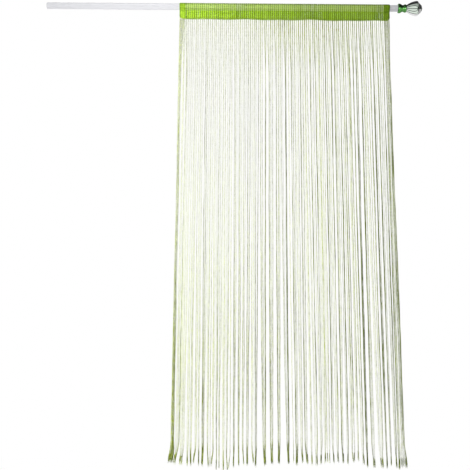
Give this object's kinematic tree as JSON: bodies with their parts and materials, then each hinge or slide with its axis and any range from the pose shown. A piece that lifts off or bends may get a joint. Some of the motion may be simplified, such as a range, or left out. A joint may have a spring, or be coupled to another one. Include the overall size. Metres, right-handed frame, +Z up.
{
  "type": "tassel door curtain on a round pole",
  "caption": "String door curtain: a knitted band folded over a round metal pole, with long hanging strings gathered in locks, and a faceted crystal finial on the pole's end.",
  "frame": {"origin": "on the pole's axis, halfway along the pole", "axes": "+X along the pole towards the finial, +Y from the curtain's front to its back, +Z up"},
  "size_m": [1.6481, 0.0632, 1.9949],
  "materials": {
    "pole_steel": "satin, pale grey",
    "neck_chrome": "polished",
    "crystal_glass": "clear, cut in flat panels",
    "band_knit": "openwork knitted tape, apple green",
    "string_yarn": "fine twisted yarn, muted green"
  },
  "bodies": {
    "root": {"pole": "pole_steel", "finial_neck": "neck_chrome", "finial_crystal": "crystal_glass", "header_band": "band_knit", "string_fringe": "string_yarn"}
  },
  "joints": []
}
